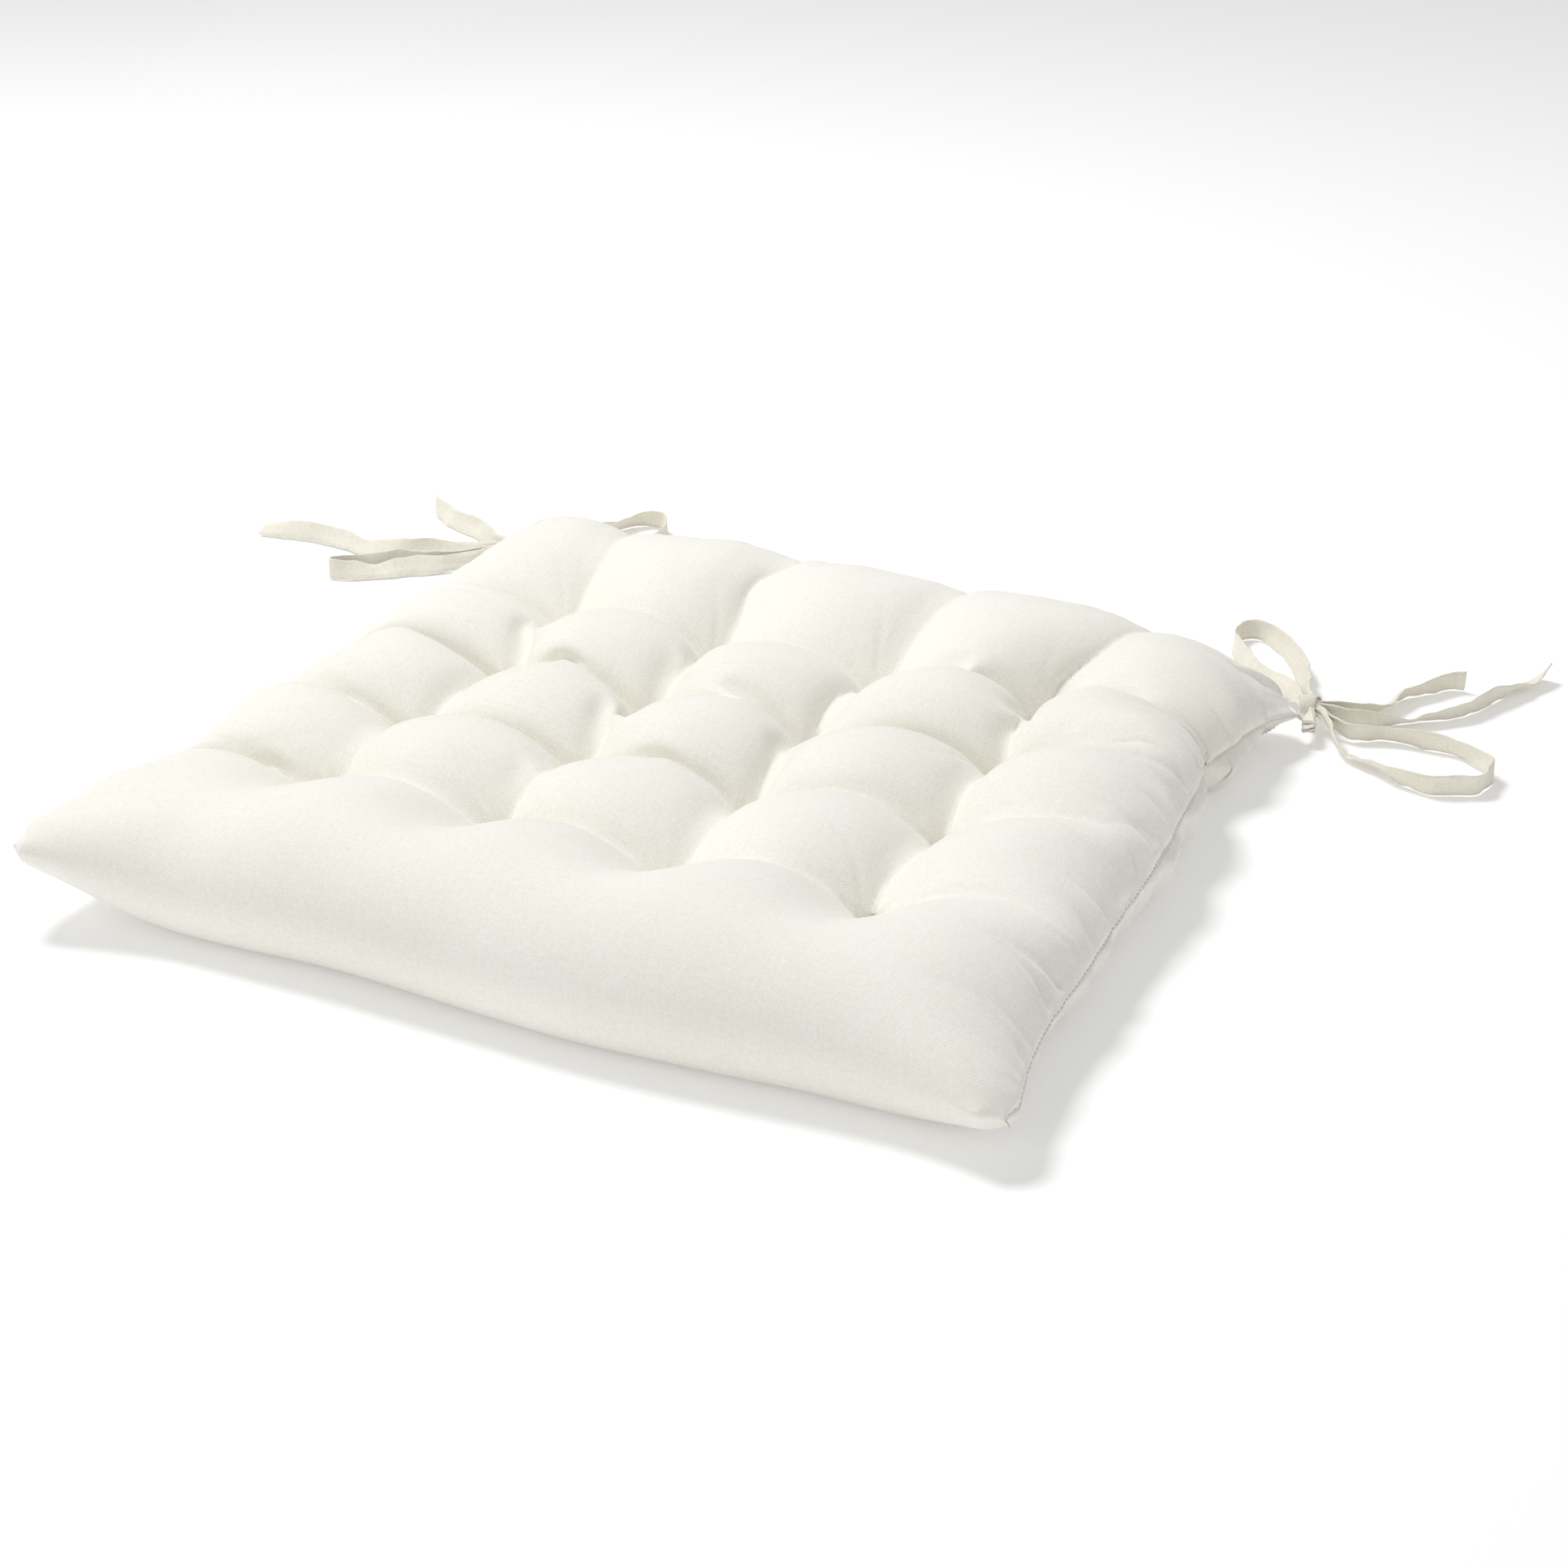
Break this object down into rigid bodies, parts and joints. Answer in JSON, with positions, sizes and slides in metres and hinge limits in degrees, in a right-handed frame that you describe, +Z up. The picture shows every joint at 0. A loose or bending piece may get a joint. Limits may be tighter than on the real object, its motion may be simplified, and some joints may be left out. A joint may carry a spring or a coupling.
{
  "type": "chair seat pad",
  "caption": "Square tufted seat cushion with a puffed quilted top, a folded front edge and a bow-tied tape at each back corner.",
  "frame": {"origin": "middle of the pad's flat underside, under the centre of the box of the pad without its ties", "axes": "+X to the right along the front edge, +Y to the back edge where the ties are, +Z up from the seat"},
  "size_m": [0.6447, 0.5036, 0.0614],
  "materials": {
    "cover_cotton": "plain-woven off-white cotton with a soft smooth face",
    "fibre_filling": "loose white polyester fibre",
    "sewing_thread": "twisted off-white polyester sewing thread",
    "tie_tape": "folded and edge-stitched cotton tape, a little yellower than the cover"
  },
  "bodies": {
    "pad": {"cover": "cover_cotton", "filling": "fibre_filling", "edge_seam_thread": "sewing_thread", "tuft_stitches": "sewing_thread", "left_bar_tack": "sewing_thread", "right_bar_tack": "sewing_thread"},
    "left_tie": {"left_tie_neck": "tie_tape", "left_knot": "tie_tape"},
    "left_bow": {"left_tape_front": "tie_tape", "left_tape_rear": "tie_tape"},
    "right_tie": {"right_tie_neck": "tie_tape", "right_knot": "tie_tape"},
    "right_bow": {"right_tape_front": "tie_tape", "right_tape_rear": "tie_tape"}
  },
  "joints": [
    {"name": "left_tie_swing", "type": "hinge", "parent": "pad", "child": "left_tie", "pos_m": [-0.19, 0.194, 0.017], "axis": [0, 0, 1], "range_deg": [-30, 30]},
    {"name": "left_bow_lift", "type": "hinge", "parent": "left_tie", "child": "left_bow", "pos_m": [-0.236, 0.232, 0.009], "axis": [0.766, 0.6428, 0], "range_deg": [0, 75]},
    {"name": "right_tie_swing", "type": "hinge", "parent": "pad", "child": "right_tie", "pos_m": [0.184, 0.196, 0.0085], "axis": [0, 0, 1], "range_deg": [-15, 25]},
    {"name": "right_bow_lift", "type": "hinge", "parent": "right_tie", "child": "right_bow", "pos_m": [0.181, 0.205, 0.011], "axis": [0.6428, -0.766, 0], "range_deg": [0, 75]}
  ]
}
